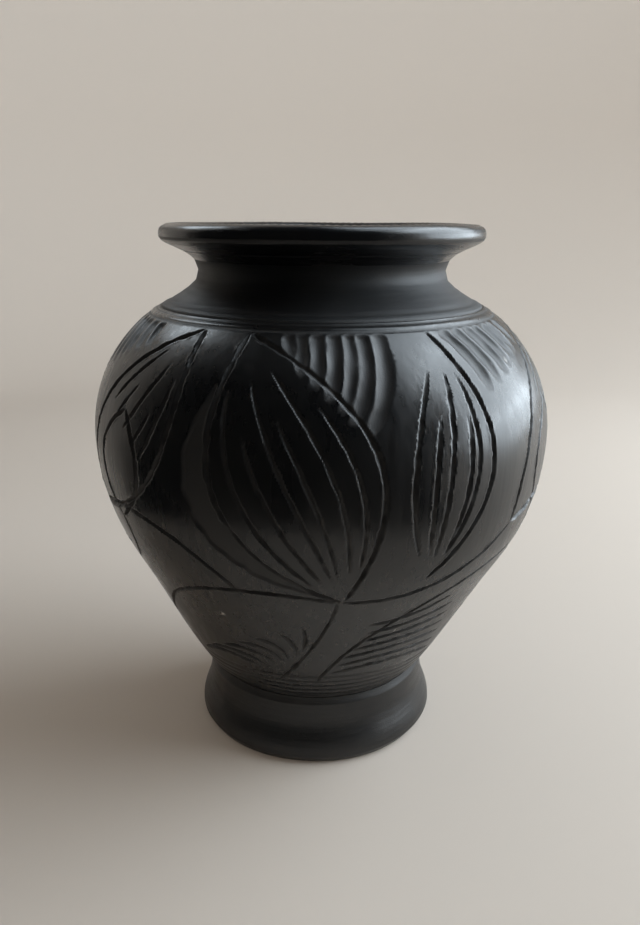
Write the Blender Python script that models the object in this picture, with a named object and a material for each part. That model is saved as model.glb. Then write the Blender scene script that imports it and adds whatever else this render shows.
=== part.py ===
"""A black clay vase, built from the six clay members that a potter lutes together.

Every member is turned about the vertical axis. Neighbours meet in a lap: the lower member ends in a
tongue on its inner side, the upper one in a skirt on its outer side, and a slip line lies between them.
Metres, +Z up, origin at the middle of the foot's standing face.
"""
import math

import bpy

MM = 0.001

# Driving dimensions
HEIGHT = 180 * MM
WALL = 5.6 * MM
SLIP_LINE = 0.3 * MM
SEGMENTS = 48

# Foot
FOOT_FACE_RADIUS = 42 * MM
FOOT_RADIUS = 44 * MM
FOOT_BEVEL_HEIGHT = 3 * MM
FOOT_WAIST_RADIUS = 40.5 * MM
FOOT_WAIST_HEIGHT = 17 * MM
FOOT_TOP_HEIGHT = 24 * MM
RECESS_MOUTH_RADIUS = 36 * MM
RECESS_ROOF_RADIUS = 31 * MM
KEY_OUTER_RADIUS = 38.6 * MM
KEY_INNER_RADIUS = 37 * MM
KEY_DEPTH = 2.0 * MM

# Floor
FLOOR_RADIUS = 33.4 * MM
FLOOR_FLANGE_RADIUS = 35.8 * MM
FLOOR_FLANGE_THICKNESS = 2.8 * MM
FLOOR_THICKNESS = 6.0 * MM

# Seams of the wall, as heights on its outer skin, and how far each tongue climbs
BELLY_SEAM = 100 * MM
SHOULDER_SEAM = 154 * MM
LIP_SEAM = 168.5 * MM
BELLY_TONGUE = 6.0 * MM
SHOULDER_TONGUE = 3.0 * MM
LIP_TONGUE = 2.4 * MM

# Lip
LIP_EDGE_HEIGHT = 175.5 * MM
LIP_RADIUS = 54 * MM
LIP_CREST_RADIUS = 49.5 * MM
MOUTH_RADIUS = 45 * MM
MOUTH_EDGE_HEIGHT = 177 * MM

# Outer skin of the wall. Below its widest place the belly is part of a ball about the axis, and a straight
# flank runs from the foot to touch it. Above, a tighter arc turns in to the shoulder.
FOOT_TOP_RADIUS = 40 * MM
BELLY_RADIUS = 78 * MM
BELLY_HEIGHT = 112 * MM
SHOULDER_ARC = 49 * MM
THROAT_RADIUS = 41.5 * MM
THROAT_HEIGHT = 163.5 * MM
NECK_POWER = 1.5
FLARE_POWER = 1.9


def clear_scene():
    for leftover in list(bpy.data.objects):
        bpy.data.objects.remove(leftover, do_unlink=True)


def flank_angle():
    """Angle from upright of the line that leaves the foot's top and touches the ball."""
    drop = BELLY_HEIGHT - FOOT_TOP_HEIGHT
    reach = math.hypot(FOOT_TOP_RADIUS, drop)
    return math.asin(BELLY_RADIUS / reach) - math.atan(FOOT_TOP_RADIUS / drop)


def belly_radius(height):
    """Radius of the flank, the ball or the shoulder's arc at a height."""
    lean = flank_angle()
    if height < BELLY_HEIGHT - BELLY_RADIUS * math.sin(lean):
        return FOOT_TOP_RADIUS + (height - FOOT_TOP_HEIGHT) * math.tan(lean)
    if height < BELLY_HEIGHT:
        return math.sqrt(BELLY_RADIUS ** 2 - (BELLY_HEIGHT - height) ** 2)
    return BELLY_RADIUS - SHOULDER_ARC + math.sqrt(SHOULDER_ARC ** 2 - (height - BELLY_HEIGHT) ** 2)


def skin_radius(height):
    """Radius of the outer skin at a height, from the top of the foot to the edge of the lip."""
    if height < SHOULDER_SEAM:
        return belly_radius(height)
    if height < THROAT_HEIGHT:
        share = (THROAT_HEIGHT - height) / (THROAT_HEIGHT - SHOULDER_SEAM)
        return THROAT_RADIUS + (belly_radius(SHOULDER_SEAM) - THROAT_RADIUS) * share ** NECK_POWER
    share = min(1, (height - THROAT_HEIGHT) / (LIP_EDGE_HEIGHT - THROAT_HEIGHT)) ** FLARE_POWER
    return THROAT_RADIUS + (LIP_RADIUS - THROAT_RADIUS) * share * share * (3 - 2 * share)


def under_skin(height, depth):
    """The point that lies a depth below the outer skin, square to it, as (radius, height)."""
    step = 0.1 * MM
    slope = (skin_radius(height + step) - skin_radius(height - step)) / (2 * step)
    length = math.hypot(1, slope)
    return skin_radius(height) - depth / length, height + depth * slope / length


def skin_run(bottom, top, depth, spacing):
    """Points at one depth below the skin, from top to bottom, evenly spaced in height."""
    count = max(1, round((top - bottom) / spacing))
    heights = [top + (bottom - top) * step / count for step in range(count + 1)]
    return [under_skin(height, depth) for height in heights]


def ellipse_run(centre, radii, start, end, count):
    """Points along an arc of an ellipse, with both ends, from one angle in degrees to another."""
    points = []
    for step in range(count + 1):
        angle = math.radians(start + (end - start) * step / count)
        points.append((centre[0] + radii[0] * math.cos(angle), centre[1] + radii[1] * math.sin(angle)))
    return points


def lap_top(seam, tongue):
    """Upper end of a member: a shoulder at the seam, then a tongue that climbs the inner half."""
    face = WALL / 2 + SLIP_LINE / 2
    climb = skin_run(seam, seam + tongue, face, tongue / 2)
    return [under_skin(seam + tongue, WALL)] + climb + [under_skin(seam, 0)]


def lap_bottom(seam, tongue):
    """Lower end of a member: a skirt that covers the outer half, and a ledge above the tongue."""
    face = WALL / 2 - SLIP_LINE / 2
    foot_of_skirt = seam + SLIP_LINE
    ledge = seam + tongue + SLIP_LINE
    return [under_skin(foot_of_skirt, 0)] + skin_run(foot_of_skirt, ledge, face, tongue / 2)[::-1] + [
        under_skin(ledge, WALL)]


def clay(name, colour, roughness):
    material = bpy.data.materials.new(name)
    material.use_nodes = True
    shader = material.node_tree.nodes["Principled BSDF"]
    shader.inputs["Base Color"].default_value = (*colour, 1)
    shader.inputs["Roughness"].default_value = roughness
    shader.inputs["Metallic"].default_value = 0
    return material


def turn(name, outline, material, closed=True):
    """Turn an outline, given as (radius, height) down its outer side, about the vertical axis."""
    vertices = [(radius, 0, height) for radius, height in outline]
    edges = [(index, index + 1) for index in range(len(outline) - 1)]
    if closed:
        edges.append((len(outline) - 1, 0))
    mesh = bpy.data.meshes.new(name)
    mesh.from_pydata(vertices, edges, [])
    mesh.materials.append(material)
    member = bpy.data.objects.new(name, mesh)
    bpy.context.scene.collection.objects.link(member)
    screw = member.modifiers.new("Turning", "SCREW")
    screw.axis = "Z"
    screw.angle = math.tau
    screw.steps = SEGMENTS
    screw.render_steps = SEGMENTS
    screw.use_smooth_shade = True
    screw.use_merge_vertices = True
    screw.merge_threshold = 0.01 * MM
    return member


def make_foot_ring():
    """Flared hollow pedestal. A groove in its top keys it to the wall."""
    bell = []
    steps = 6
    for step in range(steps + 1):
        t = step / steps
        height = FOOT_WAIST_HEIGHT + (FOOT_BEVEL_HEIGHT - FOOT_WAIST_HEIGHT) * t
        flare = (1 - math.cos(math.pi * t)) / 2
        bell.append((FOOT_WAIST_RADIUS + (FOOT_RADIUS - FOOT_WAIST_RADIUS) * flare, height))
    outline = [
        (FOOT_TOP_RADIUS, FOOT_TOP_HEIGHT),
        *bell,
        (FOOT_FACE_RADIUS, 0),
        (RECESS_MOUTH_RADIUS, 0),
        (RECESS_ROOF_RADIUS, FOOT_TOP_HEIGHT),
        (KEY_INNER_RADIUS - SLIP_LINE, FOOT_TOP_HEIGHT),
        (KEY_INNER_RADIUS - SLIP_LINE, FOOT_TOP_HEIGHT - KEY_DEPTH - SLIP_LINE),
        (KEY_OUTER_RADIUS + SLIP_LINE, FOOT_TOP_HEIGHT - KEY_DEPTH - SLIP_LINE),
        (KEY_OUTER_RADIUS + SLIP_LINE, FOOT_TOP_HEIGHT),
    ]
    return turn("foot_ring", outline, clay("foot_clay", (0.020, 0.020, 0.021), 0.50))


def make_floor_disc():
    """Slab that closes the bowl. The wall laps over the flange at its edge."""
    underside = FOOT_TOP_HEIGHT + SLIP_LINE
    outline = [
        (0, underside + FLOOR_THICKNESS),
        (FLOOR_RADIUS, underside + FLOOR_THICKNESS),
        (FLOOR_RADIUS, underside + FLOOR_FLANGE_THICKNESS),
        (FLOOR_FLANGE_RADIUS, underside + FLOOR_FLANGE_THICKNESS),
        (FLOOR_FLANGE_RADIUS, underside),
        (0, underside),
    ]
    return turn("floor_disc", outline, clay("floor_clay", (0.026, 0.025, 0.025), 0.70), closed=False)


def make_lower_wall():
    """Lower bowl, from the key in the foot to the tongue inside the belly's seam."""
    underside = FOOT_TOP_HEIGHT + SLIP_LINE
    flange_top = underside + FLOOR_FLANGE_THICKNESS + SLIP_LINE
    floor_top = underside + FLOOR_THICKNESS
    inner_start = 38 * MM
    outline = [
        *lap_top(BELLY_SEAM, BELLY_TONGUE),
        *skin_run(underside, BELLY_SEAM, 0, 8 * MM)[1:],
        (KEY_OUTER_RADIUS, underside),
        (KEY_OUTER_RADIUS, FOOT_TOP_HEIGHT - KEY_DEPTH),
        (KEY_INNER_RADIUS, FOOT_TOP_HEIGHT - KEY_DEPTH),
        (KEY_INNER_RADIUS, underside),
        (FLOOR_FLANGE_RADIUS + SLIP_LINE, underside),
        (FLOOR_FLANGE_RADIUS + SLIP_LINE, flange_top),
        (FLOOR_RADIUS + SLIP_LINE, flange_top),
        (FLOOR_RADIUS + SLIP_LINE, floor_top),
        *skin_run(inner_start, BELLY_SEAM + BELLY_TONGUE, WALL, 10 * MM)[:0:-1],
    ]
    return turn("lower_wall", outline, clay("lower_wall_clay", (0.012, 0.013, 0.015), 0.20))


def make_shoulder_wall():
    """Upper bowl, from the belly's seam over the widest place to the groove on the shoulder."""
    ledge = BELLY_SEAM + BELLY_TONGUE + SLIP_LINE
    outline = [
        *lap_top(SHOULDER_SEAM, SHOULDER_TONGUE),
        *skin_run(BELLY_SEAM + SLIP_LINE, SHOULDER_SEAM, 0, 5 * MM)[1:-1],
        *lap_bottom(BELLY_SEAM, BELLY_TONGUE),
        *skin_run(ledge, SHOULDER_SEAM + SHOULDER_TONGUE, WALL, 6.5 * MM)[-2:0:-1],
    ]
    return turn("shoulder_wall", outline, clay("shoulder_wall_clay", (0.012, 0.013, 0.015), 0.20))


def make_neck_collar():
    """Turned cone and throat above the shoulder's groove."""
    ledge = SHOULDER_SEAM + SHOULDER_TONGUE + SLIP_LINE
    outline = [
        *lap_top(LIP_SEAM, LIP_TONGUE),
        *skin_run(SHOULDER_SEAM + SLIP_LINE, LIP_SEAM, 0, 1.8 * MM)[1:-1],
        *lap_bottom(SHOULDER_SEAM, SHOULDER_TONGUE),
        *skin_run(ledge, LIP_SEAM + LIP_TONGUE, WALL, 2 * MM)[-2:0:-1],
    ]
    return turn("neck_collar", outline, clay("neck_clay", (0.018, 0.018, 0.020), 0.40))


def make_lip_coil():
    """Rolled coil whose outer face is a flat oval and whose underside flares out of the throat."""
    roll_centre = (LIP_CREST_RADIUS, LIP_EDGE_HEIGHT + 1.2 * MM)
    roll_radii = (LIP_RADIUS - LIP_CREST_RADIUS, HEIGHT - roll_centre[1])
    brow_radii = (LIP_CREST_RADIUS - MOUTH_RADIUS, HEIGHT - MOUTH_EDGE_HEIGHT)
    outline = [
        *ellipse_run((LIP_CREST_RADIUS, MOUTH_EDGE_HEIGHT), brow_radii, 180, 90, 4),
        *ellipse_run(roll_centre, roll_radii, 75, 0, 5),
        *skin_run(LIP_SEAM + SLIP_LINE, LIP_EDGE_HEIGHT, 0, 1.7 * MM)[:-1],
        *lap_bottom(LIP_SEAM, LIP_TONGUE),
    ]
    return turn("lip_coil", outline, clay("lip_clay", (0.014, 0.015, 0.017), 0.24))


def main():
    clear_scene()
    make_foot_ring()
    make_floor_disc()
    make_lower_wall()
    make_shoulder_wall()
    make_neck_collar()
    make_lip_coil()


main()
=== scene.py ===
"""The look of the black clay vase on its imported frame: turned foot, neck and lip, burnished and carved belly.

Lengths are in millimetres until a mesh is made. A place on the vase is an angle in degrees, from the front
towards +X, and a height. The carving is laid out on the skin in angle and arc, the distance along the skin
from the top of the foot.
"""
import math

import bpy
import numpy as np
from mathutils import Matrix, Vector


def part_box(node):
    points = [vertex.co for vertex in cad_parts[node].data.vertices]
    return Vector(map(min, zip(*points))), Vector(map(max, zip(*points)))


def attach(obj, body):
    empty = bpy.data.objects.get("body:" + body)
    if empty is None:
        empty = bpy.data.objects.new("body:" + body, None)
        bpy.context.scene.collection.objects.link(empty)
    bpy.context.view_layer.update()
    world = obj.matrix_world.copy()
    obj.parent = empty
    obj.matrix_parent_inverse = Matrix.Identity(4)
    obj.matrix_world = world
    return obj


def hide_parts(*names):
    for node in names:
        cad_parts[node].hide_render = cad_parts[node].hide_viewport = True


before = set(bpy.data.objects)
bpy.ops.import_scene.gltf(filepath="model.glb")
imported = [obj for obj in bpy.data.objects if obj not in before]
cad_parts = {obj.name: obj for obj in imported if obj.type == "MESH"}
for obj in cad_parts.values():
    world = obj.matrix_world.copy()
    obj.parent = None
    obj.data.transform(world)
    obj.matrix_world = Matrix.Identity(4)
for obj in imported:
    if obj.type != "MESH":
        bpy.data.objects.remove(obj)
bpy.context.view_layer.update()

MM = 0.001
SEED = 41

WALL = 5.6

# A ring of the frame counts as part of the outside if it is further than the gap above the last one, and no
# deeper than the slack inside the outermost face
RING_GAP = 0.6
RING_SLACK = 0.03

# The hand-built wall leans to +X as it rises from the foot, up to a height, and stands upright above it
LEAN = 1.6
LEAN_TOP = 85

# The finest grid on a skin, and how many of its cells make one side of the largest cell of the mesh. A cell
# is split where a flat one would lie further than the tolerance from the relief.
COLUMNS = 1024
COLUMN_STEP = math.tau / COLUMNS
ROW_STEP = 0.45
LEVELS = 3
LARGEST = 2 ** LEVELS
TOLERANCE = 0.035

# Edges sharper than these angles in degrees are shaded as edges
PIECE_SHARP = 35
DISC_SHARP = 30


# ---------------------------------------------------------------------------------------------- profile

def smooth_through(knots, values, at):
    """A cubic through the values at the knots, with the slope at each knot that of its neighbours."""
    slopes = np.gradient(values, knots)
    index = np.clip(np.searchsorted(knots, at, side="right") - 1, 0, len(knots) - 2)
    span = knots[index + 1] - knots[index]
    t = (at - knots[index]) / span
    rise = 3 * t ** 2 - 2 * t ** 3
    bend_low = (t - 2 * t ** 2 + t ** 3) * span * slopes[index]
    bend_high = (t ** 3 - t ** 2) * span * slopes[index + 1]
    return values[index] + (values[index + 1] - values[index]) * rise + bend_low + bend_high


def smoothstep(value):
    t = np.clip(value, 0, 1)
    return t * t * (3 - 2 * t)


def frame_rings(*names):
    """Heights and radii of the outermost rings of some frame nodes, from the bottom up."""
    rings = set()
    spans = set()
    for name in names:
        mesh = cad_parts[name].data
        places = [(round(v.co.z / MM, 3), round(math.hypot(v.co.x, v.co.y) / MM, 3)) for v in mesh.vertices]
        rings.update(places)
        spans.update(tuple(sorted((places[e.vertices[0]], places[e.vertices[1]]))) for e in mesh.edges)
    outer = []
    for height, radius in sorted(rings):
        reach = 0
        for (low, radius_low), (high, radius_high) in spans:
            if low <= height <= high:
                share = (height - low) / (high - low) if high > low else 1
                reach = max(reach, radius_low + (radius_high - radius_low) * share)
        apart = not outer or height - outer[-1][0] > RING_GAP
        if apart and radius > reach - RING_SLACK:
            outer.append((height, radius))
    return np.array(outer).T


def resample(outline, step):
    """The same outline of (radius, height) with even steps, a whole number of the mesh's largest cells."""
    arc = np.concatenate([[0], np.cumsum(np.hypot(*np.diff(outline, axis=0).T))])
    rows = LARGEST * max(1, round(arc[-1] / (LARGEST * step)))
    at = np.linspace(0, arc[-1], rows + 1)
    return np.stack([np.interp(at, arc, outline[:, 0]), np.interp(at, arc, outline[:, 1])], axis=1)


FOOT_HEIGHTS, FOOT_RADII = frame_rings("foot_ring")
RING_HEIGHTS, RING_RADII = frame_rings("lower_wall", "shoulder_wall", "neck_collar", "lip_coil")
FOOT_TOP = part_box("foot_ring")[1].z / MM
BELLY_SEAM = RING_HEIGHTS[np.argmin(abs(RING_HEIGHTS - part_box("shoulder_wall")[0].z / MM))]
SHOULDER_SEAM = RING_HEIGHTS[np.argmin(abs(RING_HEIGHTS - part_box("neck_collar")[0].z / MM))]
LIP_SEAM = RING_HEIGHTS[np.argmin(abs(RING_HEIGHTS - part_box("lip_coil")[0].z / MM))]
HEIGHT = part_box("lip_coil")[1].z / MM
LIP_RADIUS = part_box("lip_coil")[1].x / MM
LIP_EDGE = HEIGHT - 4.5
LIP_CREST_RADIUS = LIP_RADIUS - 4.5
MOUTH_RADIUS = LIP_RADIUS - 9.0
MOUTH_EDGE = HEIGHT - 3.0

SKIN_STEP = 0.05
OUTLINE_STEP = 2 * SKIN_STEP
SKIN_HEIGHTS = np.arange(FOOT_HEIGHTS[1], LIP_EDGE + SKIN_STEP / 5, SKIN_STEP)
SKIN_RADII = np.where(
    SKIN_HEIGHTS < FOOT_TOP,
    smooth_through(FOOT_HEIGHTS[1:], FOOT_RADII[1:], SKIN_HEIGHTS),
    smooth_through(RING_HEIGHTS, RING_RADII, SKIN_HEIGHTS),
)
SKIN_ARCS = np.concatenate([[0], np.cumsum(np.hypot(np.diff(SKIN_HEIGHTS), np.diff(SKIN_RADII)))])


def skin_outline(bottom, top, depth=0.0):
    """Outline between two heights on the skin, a depth below it, as points of (radius, height)."""
    heights = np.linspace(bottom, top, max(3, round((top - bottom) / OUTLINE_STEP)))
    slope = np.interp(heights, SKIN_HEIGHTS, np.gradient(SKIN_RADII, SKIN_HEIGHTS))
    length = np.hypot(1, slope)
    radii = np.interp(heights, SKIN_HEIGHTS, SKIN_RADII)
    return np.stack([radii - depth / length, heights + depth * slope / length], axis=1)


def lean_at(heights):
    return LEAN * smoothstep((heights - FOOT_TOP) / (LEAN_TOP - FOOT_TOP))


def arc_at(height):
    return np.interp(height, SKIN_HEIGHTS, SKIN_ARCS)


# ------------------------------------------------------------------------------------------------ noise

def wander(count, spacing, rng):
    """A smooth random run of values around zero, count long, that turns about every `spacing` values."""
    knots = max(4, math.ceil(count / max(spacing, 1e-6)) + 3)
    values = rng.normal(size=knots)
    at = np.arange(count) / spacing + rng.random()
    return smooth_through(np.arange(knots, dtype=float), values, np.minimum(at, knots - 1.001))


def swell(angles, arcs, rng, turns, waves, parts=10):
    """Soft uneven relief of a hand-made skin: waves with up to `turns` round the vase and `waves` per mm."""
    relief = np.zeros((len(arcs), len(angles)))
    for _ in range(parts):
        around = rng.integers(1, turns + 1)
        along = rng.uniform(-waves, waves) * math.tau
        phase = rng.uniform(0, math.tau)
        relief += np.sin(around * angles[None, :] + along * arcs[:, None] + phase)
    return relief / math.sqrt(parts)


# ---------------------------------------------------------------------------------------------- carving

# The distance between the points of a laid-out line, how far a gouge mark runs in at its start and out at its
# end, how deep a chip is, and how uneven a turned ring is as a share of its depth
LINE_STEP = 0.6
SCOOP_START = 1.5
SCOOP_END = 5
CHIP_DEPTH = 0.12
RING_UNEVEN = 0.12

# How far the skin swells and ripples off its true shape
BROAD_SWELL = 0.09
FINE_SWELL = 0.012


class SkinGrid:
    """A fine grid on a stretch of skin, with how deep it is cut, how far it is raised and how matte it is."""

    def __init__(self, outline, first_arc):
        self.outline = outline
        self.angles = np.arange(COLUMNS) * COLUMN_STEP
        self.radii = outline[:, 0]
        self.arcs = first_arc + np.append(0, np.cumsum(np.hypot(*np.diff(outline, axis=0).T)))
        self.cut = np.zeros((len(outline), COLUMNS))
        self.rise = np.zeros_like(self.cut)
        self.matte = np.zeros_like(self.cut)
        self.pale = np.zeros_like(self.cut)

    def window(self, line, reach):
        """Rows and unwrapped columns of the part of the grid that is within reach of a line."""
        first, last = np.searchsorted(self.arcs, (line[:, 1].min() - reach, line[:, 1].max() + reach))
        pad = reach / self.radii[first:last].min() if last > first else 0
        left = math.floor((line[:, 0].min() - pad) / COLUMN_STEP)
        right = math.ceil((line[:, 0].max() + pad) / COLUMN_STEP)
        return first, last, np.arange(left, right + 1)

    def nearest(self, line, reach):
        """For each point in a line's window: how far off the line is, and where along it is nearest."""
        first, last, columns = self.window(line, reach)
        if last <= first:
            return None
        arcs = self.arcs[first:last]
        angles = columns * COLUMN_STEP
        distance = np.full((len(arcs), len(angles)), 1e9)
        place = np.zeros_like(distance)
        for index, (start, end) in enumerate(zip(line[:-1], line[1:])):
            low, high = np.searchsorted(arcs, (min(start[1], end[1]) - reach, max(start[1], end[1]) + reach))
            if high <= low:
                continue
            radii = self.radii[first + low:first + high, None]
            pad = reach / radii.min()
            left, right = np.searchsorted(angles, (min(start[0], end[0]) - pad, max(start[0], end[0]) + pad))
            x = (angles[None, left:right] - start[0]) * radii
            y = (arcs[low:high] - start[1])[:, None]
            run_x = (end[0] - start[0]) * radii
            run_y = end[1] - start[1]
            t = np.clip((x * run_x + y * run_y) / (run_x ** 2 + run_y ** 2), 0, 1)
            found = np.hypot(x - t * run_x, y - t * run_y)
            part = (slice(low, high), slice(left, right))
            nearer = found < distance[part]
            distance[part] = np.where(nearer, found, distance[part])
            place[part] = np.where(nearer, index + t, place[part])
        return (slice(first, last), columns % COLUMNS), distance, place

    def add(self, field, where, values):
        """Keep the greater of what a field has and these values, in a window."""
        rows, columns = where
        view = field[rows]
        view[:, columns] = np.maximum(view[:, columns], values)


def lay_out(points, rng, wobble=0.06):
    """A line through points of (angle, height), as even points of (radians, arc) with a hand's wobble."""
    points = np.array(points, float)
    knots = np.stack([np.radians(points[:, 0]), arc_at(points[:, 1])], axis=1)
    radius = np.interp(points[:, 1].mean(), SKIN_HEIGHTS, SKIN_RADII)
    steps = np.hypot(np.diff(knots[:, 0]) * radius, np.diff(knots[:, 1]))
    travel = np.concatenate([[0], np.cumsum(steps)])
    count = max(4, round(travel[-1] / LINE_STEP))
    at = np.linspace(0, travel[-1], count + 1)
    line = np.stack([smooth_through(travel, knots[:, axis], at) for axis in (0, 1)], axis=1)
    line[:, 0] += wander(count + 1, 5, rng) * wobble / radius
    line[:, 1] += wander(count + 1, 5, rng) * wobble
    return line


def run_out(along, start, end, least):
    """How wide and deep a cut is along its length, as a share: it tapers over a stretch at both ends."""
    return np.sqrt(np.clip(np.minimum(along / start, (along[-1] - along) / end), least, 1))


def groove(grid, points, rng, width, depth, start, end, burr):
    """An incised line: V-shaped, of uneven width, that tapers at both ends and throws up a burr."""
    line = lay_out(points, rng)
    count = len(line)
    taper = run_out(np.arange(count) * LINE_STEP, start, end, 0.02)
    half = width / 2 * taper * (1 + 0.16 * wander(count, 3, rng)).clip(0.5, 1.5)
    deep = depth * taper * (1 + 0.18 * wander(count, 4, rng)).clip(0.5, 1.5)
    lip = burr * taper * (0.7 + 0.5 * wander(count, 3, rng)).clip(0, 2)
    found = grid.nearest(line, width * 1.6)
    if found is None:
        return
    where, distance, place = found
    spots = np.arange(count)
    u = distance / np.interp(place, spots, half)
    section = np.clip(1 - u ** 1.5, 0, 1)
    grid.add(grid.cut, where, np.interp(place, spots, deep) * section)
    grid.add(grid.matte, where, smoothstep((1.15 - u) / 0.3))
    grid.add(grid.rise, where, np.interp(place, spots, lip) * np.exp(-((u - 1.25) / 0.3) ** 2))


def scoop(grid, points, rng, width, depth):
    """A gouge mark: a rounded hollow that starts square and runs out at its lower end."""
    line = lay_out(points, rng, 0.07)
    count = len(line)
    taper = run_out(np.arange(count) * LINE_STEP, SCOOP_START, SCOOP_END, 0.01)
    half = width / 2 * (0.7 + 0.3 * taper) * (1 + 0.08 * wander(count, 7, rng)).clip(0.7, 1.3)
    deep = depth * taper * (1 + 0.12 * wander(count, 7, rng)).clip(0.6, 1.4)
    found = grid.nearest(line, width)
    if found is None:
        return
    where, distance, place = found
    spots = np.arange(count)
    u = distance / np.interp(place, spots, half)
    grid.add(grid.cut, where, np.interp(place, spots, deep) * np.clip(1 - u ** 2, 0, 1))
    grid.add(grid.matte, where, 0.75 * smoothstep((1.1 - u) / 0.3))


def recess(grid, places, rng, depth):
    """Ground cut back beside a leaf: a flat band through (angle, height, half width)."""
    places = np.array(places, float)
    line = lay_out(places[:, :2], rng, 0.1)
    count = len(line)
    at = np.linspace(0, len(places) - 1, count)
    half = np.interp(at, np.arange(len(places)), places[:, 2]) * (1 + 0.05 * wander(count, 5, rng))
    found = grid.nearest(line, places[:, 2].max() + 1)
    if found is None:
        return
    where, distance, place = found
    inside = np.interp(place, np.arange(count), half) - distance
    grid.add(grid.cut, where, depth * smoothstep(inside / 1.1))
    grid.add(grid.matte, where, smoothstep(inside / 0.7))


def chip(grid, angle, height, size, rng):
    """A small flake off the skin, which shows the pale clay dust."""
    spots = [(angle + rng.normal() * 0.3, height + rng.normal() * 0.3) for _ in range(3)]
    found = grid.nearest(lay_out(spots, rng, 0), size * 1.5)
    if found is None:
        return
    where, distance, _ = found
    grid.add(grid.cut, where, CHIP_DEPTH * smoothstep((size - distance) / size))
    grid.add(grid.pale, where, smoothstep((size * 0.8 - distance) / 0.2))


# The carved band, between the rings above the foot and those on the shoulder. A place in the design is an
# angle from the middle of its repeat, and a share of the band's height.
BAND_BOTTOM = FOOT_TOP + 10
BAND_TOP = SHOULDER_SEAM - 3
LOWEST_CUT = FOOT_TOP + 2
REPEATS = 3
REPEAT = 360 / REPEATS

# Leaves: base, tip, how far the left and the right edge bow out in millimetres, how many veins, and how far
# down the leaf they run. A plain bud stands low in the tall leaf.
BROAD_LEAF = ((5, 0.35), (-20, 1.0), 21, 26, 6, 0.88)
NARROW_LEAF = ((25, 0.40), (30, 1.0), 16, 16, 5, 0.88)
TALL_LEAF = ((50, 0.50), (85, 1.0), 14, 20, 5, 0.46)
BUD = ((65, 0.50), (70, 0.80), 11, 11, 0, 0)
LEAVES = (BROAD_LEAF, NARROW_LEAF, TALL_LEAF, BUD)
BROAD_BASE = BROAD_LEAF[0]
TALL_BASE = TALL_LEAF[0]

# Single strokes: start, end, and how far they bow, to the right of a falling stroke and above a level one.
# The broad leaf stands on a stem, and runners reach from it, or past it, to the leaves on both sides.
STEMS = (
    (BROAD_BASE, (-15, 0), 4),
    (BROAD_BASE, TALL_BASE, -6),
    ((0, 0), (REPEAT / 2, 0.40), 10),
    ((-REPEAT / 2, 0.15), BROAD_BASE, 12),
    ((TALL_BASE[0] - REPEAT, TALL_BASE[1]), (-20, 0.35), 12),
    (BUD[0], (REPEAT / 2, 0.35), 4),
)

# Fans: the first and the last stroke, and how many there are
PETAL_FANS = (
    (((15, 0.25), (40, 0.30), -1), ((5, 0.05), (50, 0.05), 3), 7),
    (((-5, 0.25), (-5, 0.15), 1), ((-50, 0.05), (-20, 0.05), 4), 7),
)
SCOOP_FANS = (
    (((-10, 1.0), (-7, 0.95), 0), ((15, 1.0), (10, 0.80), 2), 7),
    (((35, 1.0), (42, 0.87), 1), ((65, 1.0), (67, 0.95), 0), 7),
)

# Cuts: width, depth, how long the taper is at the start and at the end, and how high the burr is
EDGE_CUT = (1.5, 1.05, 3, 5, 0.12)
VEIN_CUT = (1.2, 0.85, 8, 6, 0.09)
STEM_CUT = (1.3, 0.85, 4, 6, 0.09)
PETAL_CUT = (1.4, 0.90, 4, 6, 0.09)
SCOOP_WIDTHS = (3.6, 4.8)
SCOOP_DEPTH = 0.8

# Where veins lie from a leaf's left to its right edge, where the first starts, and how much lower the next
VEIN_SPREAD = (0.16, 0.84)
VEIN_START = 0.14
VEIN_STAGGER = 0.16

# The ground cut back beside the broad leaf: its part of the edge, half widths, gap to the edge and depth
GROUND_RUN = (0.12, 0.92)
GROUND_ENDS = 0.6
GROUND_WIDTH = 4.0
GROUND_GAP = 0.7
GROUND_DEPTH = 0.55

CHIPS_PER_REPEAT = 3
CHIP_SIZES = (0.35, 0.6)


def skin_radius(height):
    return np.interp(height, SKIN_HEIGHTS, SKIN_RADII)


def stroke(start, end, bow, first=0.0, last=1.0):
    """A bowed stroke between two places in the band, or part of it, as points of (angle, height)."""
    low, high = (BAND_BOTTOM + share * (BAND_TOP - BAND_BOTTOM) for share in (start[1], end[1]))
    radius = skin_radius((low + high) / 2)
    across = math.radians(end[0] - start[0]) * radius
    up = high - low
    length = math.hypot(across, up)
    t = np.linspace(first, last, 9)
    out = bow * 4 * t * (1 - t)
    angles = start[0] + np.degrees((across * t - up / length * out) / radius)
    heights = low + up * t + across / length * out
    return list(zip(angles, np.clip(heights, LOWEST_CUT, BAND_TOP)))


def fan(first, last, count):
    """Strokes spread evenly from a first to a last one."""
    lines = []
    for share in np.linspace(0, 1, count):
        start, end = (np.array(first[k]) * (1 - share) + np.array(last[k]) * share for k in (0, 1))
        lines.append(stroke(start, end, first[2] * (1 - share) + last[2] * share))
    return lines


def leaf_edges(leaf):
    base, tip, left, right, *_ = leaf
    return [stroke(tip, base, -left), stroke(tip, base, right)]


def leaf_veins(leaf):
    """Lines between a leaf's edges, which start in turn near its tip and further down, and close up below."""
    base, tip, left, right, count, last = leaf
    veins = []
    for index, share in enumerate(np.linspace(*VEIN_SPREAD, count)):
        first = VEIN_START + VEIN_STAGGER * (index % 2)
        veins.append(stroke(tip, base, right * share - left * (1 - share), first, last))
    return veins


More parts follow.
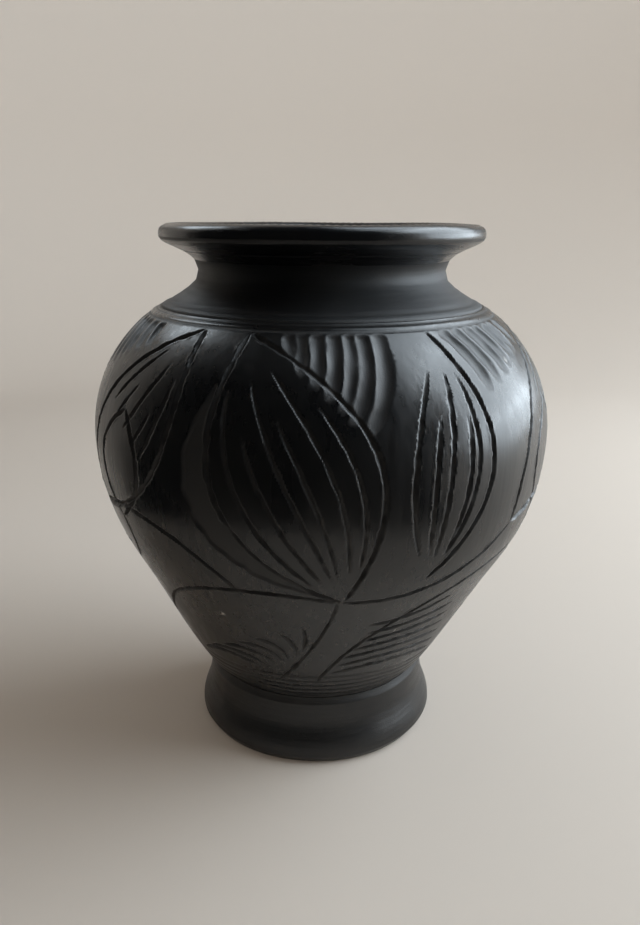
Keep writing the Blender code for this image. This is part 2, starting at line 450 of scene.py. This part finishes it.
def ground_beside(leaf):
    """The ground left of a leaf, as (angle, height, half width) down its left edge, widest halfway."""
    base, tip, left, *_ = leaf
    edge = stroke(tip, base, -left, *GROUND_RUN)
    halves = GROUND_ENDS + GROUND_WIDTH * np.sin(np.linspace(0, math.pi, len(edge)))
    return [
        (angle - math.degrees((half + GROUND_GAP) / skin_radius(height)), height, half)
        for (angle, height), half in zip(edge, halves)
    ]


def carve_repeat(grid, turn, rng):
    """One repeat of the design, turned about the axis. No two are quite alike, as a hand would make them.

    The narrow leaf lies behind the broad one, which hides its left edge.
    """

    def moved(line):
        shift = turn + rng.normal() * 0.4
        return [(place[0] + shift, *place[1:]) for place in line]

    recess(grid, moved(ground_beside(BROAD_LEAF)), rng, GROUND_DEPTH)
    for leaf in LEAVES:
        hidden = 1 if leaf is NARROW_LEAF else 0
        for edge in leaf_edges(leaf)[hidden:]:
            groove(grid, moved(edge), rng, *EDGE_CUT)
        for vein in leaf_veins(leaf):
            groove(grid, moved(vein), rng, *VEIN_CUT)
    for stem in STEMS:
        groove(grid, moved(stroke(*stem)), rng, *STEM_CUT)
    for petals in PETAL_FANS:
        for line in fan(*petals):
            groove(grid, moved(line), rng, *PETAL_CUT)
    for scoops in SCOOP_FANS:
        for line in fan(*scoops):
            scoop(grid, moved(line), rng, rng.uniform(*SCOOP_WIDTHS), SCOOP_DEPTH)
    for _ in range(CHIPS_PER_REPEAT):
        angle = turn + rng.uniform(0, REPEAT)
        chip(grid, angle, rng.uniform(BAND_BOTTOM, BAND_TOP), rng.uniform(*CHIP_SIZES), rng)


def turned_ring(grid, height, width, depth, rng):
    """A groove cut on the wheel, or a ridge where the depth is negative, round the vase at a height."""
    drift = sum(
        rng.normal() * 0.07 / order * np.sin(order * grid.angles + rng.uniform(0, math.tau))
        for order in (1, 2, 3, 5)
    )
    uneven = 1 + RING_UNEVEN * np.sin(7 * grid.angles + rng.uniform(0, 6)) * np.sin(17 * grid.angles)
    offset = grid.arcs[:, None] - arc_at(height) - drift[None, :]
    u = abs(offset) / (width / 2)
    section = np.clip(1 - u ** 1.6, 0, 1) * uneven[None, :]
    if depth > 0:
        np.maximum(grid.cut, depth * section, out=grid.cut)
        np.maximum(grid.matte, 0.8 * smoothstep((1.1 - u) / 0.4) * min(1, depth / 0.3), out=grid.matte)
    else:
        np.maximum(grid.rise, -depth * section, out=grid.rise)


# Rings turned into the clay, as (height, width, depth), with a ridge where the depth is negative. Those on
# the shoulder run down from above its seam, one step apart. Low on the wall they are even, above a soft notch
# where it meets the foot.
SHOULDER_STEP = 0.8
SHOULDER_CUTS = ((2.0, 0.16), (0.7, -0.08), (1.0, 0.50), (0.8, 0.25), (1.1, -0.16), (0.9, 0.30))
SHOULDER_RINGS = tuple(
    (SHOULDER_SEAM + SHOULDER_STEP * (2 - index), width, depth)
    for index, (width, depth) in enumerate(SHOULDER_CUTS)
)
FOOT_RINGS = (*((FOOT_TOP + 5 + 2.6 * index, 1.5, 0.22) for index in range(4)), (FOOT_TOP + 0.6, 6.5, 0.75))
LIP_RINGS = ((LIP_EDGE - 0.3, 0.8, 0.28), (LIP_SEAM + 2.7, 0.8, 0.12))
BEVEL_RINGS = ((FOOT_HEIGHTS[1] + 0.6, 0.9, 0.14),)


def ringed_grid(outline, first_arc, *ring_sets):
    """A grid on a stretch of skin with rings turned into it. A set of rings is alike on all that share it."""
    grid = SkinGrid(outline, first_arc)
    for rings in ring_sets:
        rng = np.random.default_rng(SEED + len(rings))
        for height, width, depth in rings:
            turned_ring(grid, height, width, depth, rng)
    return grid


def carved_grid(bottom, top):
    """The belly's skin between two seams, with its rings and leaves."""
    outline = resample(skin_outline(bottom, top), ROW_STEP)
    grid = ringed_grid(outline, arc_at(bottom), SHOULDER_RINGS, FOOT_RINGS)
    for index in range(REPEATS):
        carve_repeat(grid, index * REPEAT, np.random.default_rng(SEED + 10 + index))
    return grid


def relief(grid):
    """How far each point of the grid stands off the plain skin."""
    rng = np.random.default_rng(SEED + 5)
    broad = swell(grid.angles, grid.arcs, rng, 5, 0.012) * BROAD_SWELL
    fine = swell(grid.angles, grid.arcs, rng, 46, 0.02, 14) * FINE_SWELL
    keep = smoothstep(1 - grid.cut / 0.1)
    return broad + fine + grid.rise * keep - grid.cut


# ------------------------------------------------------------------------------------------------ meshes

def doubled(mask):
    return np.repeat(np.repeat(mask, 2, axis=0), 2, axis=1)


def paired(mask):
    """Whether any of each 2 by 2 block is set."""
    rows, columns = mask.shape
    return mask.reshape(rows // 2, 2, columns // 2, 2).any(axis=(1, 3))


def widened(mask):
    grown = mask | np.roll(mask, 1, axis=1) | np.roll(mask, -1, axis=1)
    grown[1:] |= mask[:-1]
    grown[:-1] |= mask[1:]
    return grown


def flat_error(field, size):
    """For cells of a size, the largest gap between the field and a flat patch through the cell's corners."""
    closed = np.concatenate([field, field[:, :1]], axis=1)
    corners = closed[::size, ::size]
    rows, columns = corners.shape[0] - 1, corners.shape[1] - 1
    t = (np.arange(size) / size)[None, :, None]
    tall = (corners[:-1, None, :] * (1 - t) + corners[1:, None, :] * t).reshape(rows * size, columns + 1)
    t = (np.arange(size) / size)[None, None, :]
    patch = tall[:, :-1, None] * (1 - t) + tall[:, 1:, None] * t
    gap = abs(patch.reshape(rows * size, columns * size) - field[:-1])
    return gap.reshape(rows, size, columns, size).max(axis=(1, 3))


def split_cells(field):
    """For each cell size, which cells are split. Neighbouring cells end up at most one size apart."""
    rows, columns = field.shape[0] - 1, field.shape[1]
    split = [np.zeros((rows, columns), bool)]
    for level in range(1, LEVELS + 1):
        error = flat_error(field, 2 ** level) > TOLERANCE
        split.append(error | paired(widened(split[-1])))
    return split


def adaptive_faces(field):
    """Faces of a grid that is fine only where the field needs it. A grid point is row * COLUMNS + column."""
    split = split_cells(field)
    faces = []
    present = np.ones_like(split[LEVELS])
    for level in range(LEVELS, -1, -1):
        size = 2 ** level
        row, column = np.nonzero(present & ~split[level])
        below = np.zeros((len(row), 4), bool)
        if level:
            finer = split[level]
            rows = finer.shape[0]
            columns = finer.shape[1]
            below[:, 0] = (row > 0) & finer[np.maximum(row - 1, 0), column]
            below[:, 1] = finer[row, (column + 1) % columns]
            below[:, 2] = (row < rows - 1) & finer[np.minimum(row + 1, rows - 1), column]
            below[:, 3] = finer[row, column - 1]
        half = size // 2
        around = [
            (0, 0), (0, half), (0, size), (half, size),
            (size, size), (size, half), (size, 0), (half, 0),
        ]
        points = np.stack([
            (row * size + up) * COLUMNS + (column * size + over) % COLUMNS for up, over in around], axis=1)
        centres = (row * size + half) * COLUMNS + (column * size + half) % COLUMNS
        pattern = below @ np.array([1, 2, 4, 8])
        for kind in np.unique(pattern):
            chosen = pattern == kind
            used = [0, 2, 4, 6] + [1 + 2 * side for side in range(4) if kind >> side & 1]
            ring = points[chosen][:, sorted(used)]
            if kind == 0:
                faces.extend(ring.tolist())
                continue
            centre = centres[chosen]
            for corner in range(ring.shape[1]):
                after = ring[:, (corner + 1) % ring.shape[1]]
                faces.extend(np.stack([ring[:, corner], after, centre], axis=1).tolist())
        if level:
            present = doubled(split[level])
    return faces


def skin_points(grid, field):
    """Places and outward normals of the grid's points, with the field as relief, in millimetres."""
    rise = np.gradient(grid.outline, axis=0)
    out = np.stack([rise[:, 1], -rise[:, 0]], axis=1)
    out /= np.hypot(out[:, 0], out[:, 1])[:, None]
    radius = grid.outline[:, 0, None] + out[:, 0, None] * field
    height = grid.outline[:, 1, None] + out[:, 1, None] * field
    places = np.stack([radius * np.sin(grid.angles), -radius * np.cos(grid.angles), height], axis=2)
    across = np.roll(places, -1, axis=1) - np.roll(places, 1, axis=1)
    up = np.gradient(places, axis=0)
    normals = np.cross(across, up)
    normals /= np.linalg.norm(normals, axis=2)[:, :, None]
    return places.reshape(-1, 3), normals.reshape(-1, 3)


def coarse_rings(outline):
    """Rings of points, one to each column of the largest cells, at each point of an outline."""
    angles = np.arange(0, COLUMNS, LARGEST) * COLUMN_STEP
    return np.concatenate([
        np.stack([radius * np.sin(angles), -radius * np.cos(angles), np.full_like(angles, height)], axis=1)
        for radius, height in outline
    ])


def make_piece(name, node, grid, closing, material):
    """A closed piece: the carved skin of a grid, and plain turned faces along the closing outline.

    The closing outline runs from the skin's top edge, over the inside, to its bottom edge.
    """
    field = relief(grid)
    places, normals = skin_points(grid, field)
    faces = adaptive_faces(field)
    used = np.zeros(len(places), bool)
    used[np.concatenate([np.array(face) for face in faces])] = True
    skin_faces = len(faces)
    columns = COLUMNS // LARGEST
    top = field.shape[0] - 1
    inner = coarse_rings(closing)
    for column in range(columns):
        after = (column + 1) % columns
        for row, first, flip in ((top, 0, False), (0, (len(closing) - 1) * columns, True)):
            run = [row * COLUMNS + (column * LARGEST + step) % COLUMNS for step in range(LARGEST + 1)]
            edge = [point for point in run if used[point]]
            face = edge + [len(places) + first + after, len(places) + first + column]
            faces.append(face[::-1] if flip else face)
        for ring in range(len(closing) - 1):
            start = len(places) + ring * columns
            faces.append([start + column, start + after, start + columns + after, start + columns + column])
    keep = np.concatenate([np.flatnonzero(used), np.arange(len(places), len(places) + len(inner))])
    renumber = np.full(len(places) + len(inner), -1)
    renumber[keep] = np.arange(len(keep))
    everything = np.concatenate([places, inner])[keep]
    everything[:, 0] += lean_at(everything[:, 2])
    mesh = bpy.data.meshes.new(name)
    mesh.from_pydata((everything * MM).tolist(), [], [renumber[face].tolist() for face in faces])
    paint = (("carved", grid.matte, 1.0), ("pale", grid.pale, 0.0))
    for label, values, inside in paint:
        attribute = mesh.attributes.new(label, "FLOAT", "POINT")
        data = np.concatenate([values.ravel(), np.full(len(inner), inside)])[keep]
        attribute.data.foreach_set("value", data.astype(np.float32))
    finish_normals(mesh, np.concatenate([normals, np.zeros((len(inner), 3))])[keep], skin_faces)
    mesh.materials.append(material)
    piece = bpy.data.objects.new(name, mesh)
    bpy.context.scene.collection.objects.link(piece)
    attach(piece, "root")
    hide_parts(node)


def finish_normals(mesh, normals, skin_faces):
    """Smooth shading with the skin's own normals; the plain faces get theirs from their geometry."""
    mesh.shade_smooth()
    mesh.set_sharp_from_angle(angle=math.radians(PIECE_SHARP))
    corners = np.empty(len(mesh.loops), np.int64)
    mesh.loops.foreach_get("vertex_index", corners)
    own = normals[corners]
    own[mesh.polygons[skin_faces].loop_start:] = 0
    mesh.normals_split_custom_set(own.tolist())


# ---------------------------------------------------------------------------------------------- materials

class Paint:
    """A material's node tree, with short ways to add nodes and join them."""

    def __init__(self, name):
        self.material = bpy.data.materials.new(name)
        self.material.use_nodes = True
        self.tree = self.material.node_tree
        self.shader = self.tree.nodes["Principled BSDF"]

    def add(self, kind, values=None, **settings):
        node = self.tree.nodes.new("ShaderNode" + kind)
        for key, value in settings.items():
            setattr(node, key, value)
        for key, value in (values or {}).items():
            self.put(value, node.inputs[key])
        return node

    def put(self, value, socket):
        if isinstance(value, bpy.types.NodeSocket):
            self.tree.links.new(value, socket)
        else:
            socket.default_value = value

    def maths(self, operation, first, second):
        return self.add("Math", {0: first, 1: second}, operation=operation).outputs[0]

    def between(self, value, low, high, to_low, to_high):
        names = ("Value", "From Min", "From Max", "To Min", "To Max")
        return self.add("MapRange", dict(zip(names, (value, low, high, to_low, to_high)))).outputs["Result"]

    def noise(self, place, scale, detail):
        """Noise between 0 and 1 with features of about 1 / scale metres."""
        return self.add("TexNoise", {"Vector": place, "Scale": scale, "Detail": detail}).outputs["Fac"]

    def blend(self, share, first, second):
        node = self.add("Mix", data_type="RGBA")
        self.put(share, node.inputs["Factor"])
        for key, value in (("A", first), ("B", second)):
            socket = next(s for s in node.inputs if s.name == key and s.type == "RGBA")
            self.put(value if isinstance(value, bpy.types.NodeSocket) else (*value, 1), socket)
        return next(s for s in node.outputs if s.type == "RGBA")

    def attribute(self, name):
        return self.add("Attribute", attribute_name=name).outputs["Fac"]

    def stretched_place(self, across, along):
        """Object position whose run round the vase is scaled by across and whose height by along."""
        place = self.add("TexCoord").outputs["Object"]
        scale = self.add("VectorMath", {0: place, 1: (across, across, along)}, operation="MULTIPLY")
        return scale.outputs[0]

    def bump(self, height, distance, normal=None):
        values = {"Height": height, "Distance": distance, "Strength": 1.0}
        if normal:
            values["Normal"] = normal
        return self.add("Bump", values).outputs["Normal"]


BLACK = (0.0026, 0.0028, 0.0034)
SOOT = (0.0056, 0.0053, 0.0053)
GROUND_CLAY = (0.0150, 0.0138, 0.0132)
DUST = (0.30, 0.28, 0.26)
CLAY_IOR = 1.55
CUT_ROUGHNESS = 0.58
TURNED_CUT_ROUGHNESS = 0.62


def burnished_clay(name, smoothest, roughest):
    """Clay rubbed with a stone in upright strokes; where it is cut it stays matte."""
    paint = Paint(name)
    carved = paint.attribute("carved")
    strokes = paint.noise(paint.stretched_place(1, 0.07), 420, 4)
    patches = paint.noise(paint.stretched_place(1, 0.6), 45, 2)
    grain = paint.noise(paint.stretched_place(1, 1), 2600, 2)
    rubbed = paint.between(paint.maths("ADD", strokes, patches), 0.75, 1.25, smoothest, roughest)
    rough = paint.between(carved, 0, 1, rubbed, CUT_ROUGHNESS)
    skin = paint.blend(paint.between(patches, 0.35, 0.7, 0, 1), BLACK, SOOT)
    skin = paint.blend(carved, skin, GROUND_CLAY)
    skin = paint.blend(paint.attribute("pale"), skin, DUST)
    paint.put(skin, paint.shader.inputs["Base Color"])
    paint.put(rough, paint.shader.inputs["Roughness"])
    paint.shader.inputs["IOR"].default_value = CLAY_IOR
    coarse = paint.bump(paint.maths("MULTIPLY", grain, carved), 0.00008)
    paint.put(paint.bump(strokes, 0.00006, coarse), paint.shader.inputs["Normal"])
    return paint.material


def turned_clay(name, smoothest, roughest):
    """Clay smoothed on the wheel: a satin skin with fine rings."""
    paint = Paint(name)
    carved = paint.attribute("carved")
    rings = paint.noise(paint.stretched_place(0.05, 1), 900, 4)
    patches = paint.noise(paint.stretched_place(1, 1), 60, 3)
    grain = paint.noise(paint.stretched_place(1, 1), 2400, 3)
    rubbed = paint.between(paint.maths("ADD", rings, patches), 0.75, 1.25, smoothest, roughest)
    rough = paint.between(carved, 0, 1, rubbed, TURNED_CUT_ROUGHNESS)
    skin = paint.blend(paint.between(patches, 0.35, 0.7, 0, 1), BLACK, SOOT)
    skin = paint.blend(carved, skin, GROUND_CLAY)
    paint.put(skin, paint.shader.inputs["Base Color"])
    paint.put(rough, paint.shader.inputs["Roughness"])
    paint.shader.inputs["IOR"].default_value = CLAY_IOR
    coarse = paint.bump(grain, 0.00005)
    paint.put(paint.bump(rings, 0.00008, coarse), paint.shader.inputs["Normal"])
    return paint.material


# ------------------------------------------------------------------------------------------------ pieces

CORNER_POINTS = 4


def rounded(corner_points, radius):
    """An outline with each inner corner cut back by a radius and rounded."""
    points = np.array(corner_points, float)
    out = [points[0]]
    for before, corner, after in zip(points[:-2], points[1:-1], points[2:]):
        start = corner + (before - corner) * min(0.45, radius / np.linalg.norm(before - corner))
        end = corner + (after - corner) * min(0.45, radius / np.linalg.norm(after - corner))
        for t in np.linspace(0, 1, CORNER_POINTS):
            out.append((1 - t) ** 2 * start + 2 * t * (1 - t) * corner + t ** 2 * end)
    out.append(points[-1])
    return np.array(out)


def oval_run(centre, radii, start, end, count, fullness=1.0):
    """Points along part of an oval, from one angle to another. A fullness under 1 squares its shoulders."""
    turn = np.radians(np.linspace(start, end, count))
    across = np.sign(np.cos(turn)) * abs(np.cos(turn)) ** fullness
    up = np.sign(np.sin(turn)) * abs(np.sin(turn)) ** fullness
    return np.stack([centre[0] + radii[0] * across, centre[1] + radii[1] * up], axis=1)


def inside_run(top, bottom, count):
    """The inner face of the wall between two heights of its outer skin, from the top down."""
    run = skin_outline(bottom, top, WALL)
    return run[np.linspace(len(run) - 1, 0, count).astype(int)]


# The height down to which the wall's inner face follows its skin, and how far it reaches in over the floor's
# edge below that
INSIDE_FOOT = 38
FLOOR_LAP = 2


def make_lower_wall(material):
    grid = carved_grid(FOOT_TOP, BELLY_SEAM)
    floor_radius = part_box("floor_disc")[1].x / MM
    floor_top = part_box("floor_disc")[1].z / MM
    inside = inside_run(BELLY_SEAM, INSIDE_FOOT, 12)
    closing = [*inside, (floor_radius - FLOOR_LAP, floor_top), (floor_radius, FOOT_TOP)]
    make_piece("lower_wall_carved", "lower_wall", grid, closing, material)


def make_shoulder_wall(material):
    grid = carved_grid(BELLY_SEAM, SHOULDER_SEAM)
    closing = inside_run(SHOULDER_SEAM, BELLY_SEAM, 14)
    make_piece("shoulder_wall_carved", "shoulder_wall", grid, closing, material)


def make_neck_collar(material):
    outline = resample(skin_outline(SHOULDER_SEAM, LIP_SEAM), ROW_STEP)
    grid = ringed_grid(outline, arc_at(SHOULDER_SEAM), SHOULDER_RINGS)
    closing = inside_run(LIP_SEAM, SHOULDER_SEAM, 10)
    make_piece("neck_collar_turned", "neck_collar", grid, closing, material)


def make_lip_coil(material):
    """The lip: its underside, the roll at its edge, and the brow that falls to the mouth."""
    roll = (LIP_CREST_RADIUS, LIP_EDGE + 1.2)
    roll_radii = (LIP_RADIUS - LIP_CREST_RADIUS, HEIGHT - roll[1])
    brow_radii = (LIP_CREST_RADIUS - MOUTH_RADIUS, HEIGHT - MOUTH_EDGE)
    outline = np.concatenate([
        skin_outline(LIP_SEAM, LIP_EDGE - 0.1),
        oval_run(roll, roll_radii, 0, 86, 24, 0.84),
        oval_run((LIP_CREST_RADIUS, MOUTH_EDGE), brow_radii, 90, 180, 12),
    ])
    grid = ringed_grid(resample(outline, ROW_STEP), arc_at(LIP_SEAM), LIP_RINGS)
    mouth = [(MOUTH_RADIUS - 0.6, MOUTH_EDGE - 1)]
    closing = np.concatenate([mouth, inside_run(LIP_SEAM + 2, LIP_SEAM, 4)])
    make_piece("lip_coil_turned", "lip_coil", grid, closing, material)


# The foot: how much of its standing face is made with the skin, how the toe between them is rounded, and how
# many points of the bell the toe takes up
FACE_WIDTH = 1.5
TOE_RADIUS = 0.8
TOE_POINTS = 6

# Radii under and on the foot. The recess is a cone from its roof, level with the foot's top, down to its
# bevelled mouth. The top is flat, with one more ring of points on it.
RECESS_ROOF_RADIUS = 31
RECESS_MOUTH_RADIUS = 36
RECESS_BEVEL = 0.8
TOP_RING_RADIUS = 37.5


def make_foot_ring(material):
    bell = skin_outline(FOOT_HEIGHTS[1], FOOT_TOP)
    face_radius = FOOT_RADII[0]
    toe = rounded([(face_radius - FACE_WIDTH, 0), (face_radius, 0), bell[0], bell[TOE_POINTS]], TOE_RADIUS)
    outline = resample(np.concatenate([toe, bell[TOE_POINTS + 1:]]), ROW_STEP)
    length = np.hypot(*np.diff(outline, axis=0).T).sum()
    grid = ringed_grid(outline, arc_at(FOOT_TOP) - length, FOOT_RINGS, BEVEL_RINGS)
    closing = [
        (TOP_RING_RADIUS, FOOT_TOP),
        (RECESS_ROOF_RADIUS, FOOT_TOP),
        (RECESS_MOUTH_RADIUS, RECESS_BEVEL),
        (RECESS_MOUTH_RADIUS + RECESS_BEVEL, 0),
    ]
    make_piece("foot_ring_turned", "foot_ring", grid, closing, material)


# The floor disc: its sides, the bevel at its upper edge, how far it is dished halfway out, and the radius of
# the small flat at its centre
DISC_SIDES = 96
DISC_BEVEL = 3
DISC_DISH = 0.2
DISC_CENTRE = 0.5


def make_floor_disc(material):
    """The floor: a disc, a little dished halfway out and bevelled at its upper edge."""
    low, high = (corner.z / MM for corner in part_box("floor_disc"))
    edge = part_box("floor_disc")[1].x / MM
    outline = [
        (DISC_CENTRE, high),
        (edge / 2, high - DISC_DISH),
        (edge - DISC_BEVEL, high),
        (edge, high - DISC_BEVEL),
        (edge, low),
        (DISC_CENTRE, low),
    ]
    angles = np.arange(DISC_SIDES) * math.tau / DISC_SIDES
    places = np.concatenate([
        np.stack([radius * np.cos(angles), radius * np.sin(angles), np.full_like(angles, height)], axis=1)
        for radius, height in outline
    ])
    places[:, 0] += lean_at(places[:, 2])
    last = (len(outline) - 1) * DISC_SIDES
    faces = [list(range(DISC_SIDES)), list(range(last, last + DISC_SIDES))[::-1]]
    for low_ring in range(0, last, DISC_SIDES):
        high_ring = low_ring + DISC_SIDES
        for step in range(DISC_SIDES):
            after = (step + 1) % DISC_SIDES
            faces.append([low_ring + after, low_ring + step, high_ring + step, high_ring + after])
    mesh = bpy.data.meshes.new("floor_disc_turned")
    mesh.from_pydata((places * MM).tolist(), [], faces)
    mesh.shade_smooth()
    mesh.set_sharp_from_angle(angle=math.radians(DISC_SHARP))
    mesh.attributes.new("carved", "FLOAT", "POINT").data.foreach_set("value", [1.0] * len(places))
    mesh.materials.append(material)
    disc = bpy.data.objects.new("floor_disc_turned", mesh)
    bpy.context.scene.collection.objects.link(disc)
    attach(disc, "root")
    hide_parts("floor_disc")


# ------------------------------------------------------------------------------------------------- studio

CAMERA_DISTANCE = 278
CAMERA_HEIGHT = 182
CAMERA_TILT = 17.1
CAMERA_YAW = -0.26
CAMERA_ROLL = 0.29
SENSOR = 36
LENS = 31.1
DAYLIGHT = (0.80, 0.91, 1.0)
PALE_FLOOR = (0.56, 0.492, 0.43)
ROOM = (0.5, 0.55, 0.6)
ROOM_STRENGTH = 0.02

# The stage, in metres: the radii of the rings on its floor, where its floor ends, its bend and its top. Its
# step is in degrees.
NEAR_FLOOR = (0.001, 0.1, 0.20)
FAR_FLOOR = (NEAR_FLOOR[-1], 0.35, 0.5, 0.57)
FLOOR_RADIUS = 0.60
STAGE_BEND = 0.30
STAGE_TOP = 1.8
STAGE_STEP = 2.5


def add_camera():
    """The photograph's viewpoint: just above the rim, a forearm's length away."""
    data = bpy.data.cameras.new("camera")
    data.sensor_width = SENSOR
    data.lens = LENS
    data.clip_start = 0.01
    camera = bpy.data.objects.new("camera", data)
    place = Matrix.Translation((0, -CAMERA_DISTANCE * MM, CAMERA_HEIGHT * MM))
    yaw = Matrix.Rotation(math.radians(CAMERA_YAW), 4, "Z")
    pitch = Matrix.Rotation(math.radians(90 - CAMERA_TILT), 4, "X")
    roll = Matrix.Rotation(math.radians(CAMERA_ROLL), 4, "Z")
    camera.matrix_world = place @ yaw @ pitch @ roll
    bpy.context.scene.collection.objects.link(camera)
    bpy.context.scene.camera = camera


def plain(name, colour):
    paint = Paint(name)
    paint.shader.inputs["Base Color"].default_value = (*colour, 1)
    paint.shader.inputs["Roughness"].default_value = 0.9
    paint.shader.inputs["Specular IOR Level"].default_value = 0.2
    return paint.material


def add_turned_stage(name, outline, start, end, material, glossy=True):
    """Part of the stage turned about the vase between two angles, from an outline of (radius, height).

    All parts share one angular step, so that their edges meet without cracks.
    """
    steps = round((end - start) / STAGE_STEP)
    angles = np.radians(start + STAGE_STEP * np.arange(steps + 1))
    places = [(r * math.sin(a), -r * math.cos(a), z) for r, z in outline for a in angles]
    around = steps + 1
    faces = [
        (row * around + k, row * around + k + 1, (row + 1) * around + k + 1, (row + 1) * around + k)
        for row in range(len(outline) - 1) for k in range(steps)
    ]
    mesh = bpy.data.meshes.new(name)
    mesh.from_pydata(places, [], faces)
    mesh.shade_smooth()
    mesh.materials.append(material)
    part = bpy.data.objects.new(name, mesh)
    part.visible_glossy = glossy
    bpy.context.scene.collection.objects.link(part)


def add_cove(material):
    """A round pale floor that bends up into a wall.

    The vase mirrors the floor close by, and the wall behind it and on its window side. It doesn't mirror the
    rest, so its front stays dark.
    """
    wall = [
        (FLOOR_RADIUS + STAGE_BEND * math.sin(turn), STAGE_BEND * (1 - math.cos(turn)))
        for turn in np.radians(np.arange(0, 91, 5))
    ]
    wall.append((FLOOR_RADIUS + STAGE_BEND, STAGE_TOP))
    far = [*((radius, 0) for radius in FAR_FLOOR), *wall]
    add_turned_stage("floor", [(radius, 0) for radius in NEAR_FLOOR], 0, 360, material)
    add_turned_stage("cove_back", far, 55, 260, material)
    add_turned_stage("cove_front", far, -100, 55, material, glossy=False)


def add_panel(name, angle, distance, height, size, tilt, power, glossy=True, diffuse=True):
    """A soft rectangular light on a circle about the vase, facing its axis."""
    data = bpy.data.lights.new(name, "AREA")
    data.shape = "RECTANGLE"
    data.size, data.size_y = size
    data.energy = power
    data.color = DAYLIGHT
    panel = bpy.data.objects.new(name, data)
    turn = math.radians(angle)
    panel.location = (distance * math.sin(turn), -distance * math.cos(turn), height)
    panel.rotation_euler = (math.radians(90 - tilt), 0, turn)
    panel.visible_camera = False
    panel.visible_glossy = glossy
    panel.visible_diffuse = diffuse
    bpy.context.scene.collection.objects.link(panel)


def add_studio():
    add_cove(plain("pale_floor", PALE_FLOOR))
    add_panel("window", angle=98, distance=0.76, height=0.66, size=(1.4, 0.92), tilt=8, power=25)
    add_panel("window_sill", angle=98, distance=0.76, height=0.14, size=(1.4, 0.20), tilt=8, power=5)
    add_panel("skylight", angle=110, distance=0.52, height=1.18, size=(1.0, 0.7), tilt=60, power=8,
              diffuse=False)
    add_panel("far_window", angle=-129, distance=0.60, height=0.70, size=(0.26, 0.26), tilt=43, power=1.1,
              diffuse=False)
    add_panel("ceiling", angle=180, distance=0.3, height=1.5, size=(1.2, 1.2), tilt=80, power=2.2,
              glossy=False)
    world = bpy.data.worlds.new("room")
    world.use_nodes = True
    world.node_tree.nodes["Background"].inputs["Color"].default_value = (*ROOM, 1)
    world.node_tree.nodes["Background"].inputs["Strength"].default_value = ROOM_STRENGTH
    bpy.context.scene.world = world
    bpy.context.scene.view_settings.view_transform = "Standard"


def main():
    burnished = burnished_clay("burnished_black_clay", 0.22, 0.36)
    foot = turned_clay("foot_black_clay", 0.30, 0.40)
    neck = turned_clay("neck_black_clay", 0.52, 0.62)
    lip = turned_clay("polished_lip_clay", 0.20, 0.30)
    inner = turned_clay("inner_clay", 0.6, 0.7)
    make_foot_ring(foot)
    make_floor_disc(inner)
    make_lower_wall(burnished)
    make_shoulder_wall(burnished)
    make_neck_collar(neck)
    make_lip_coil(lip)
    add_camera()
    add_studio()


main()
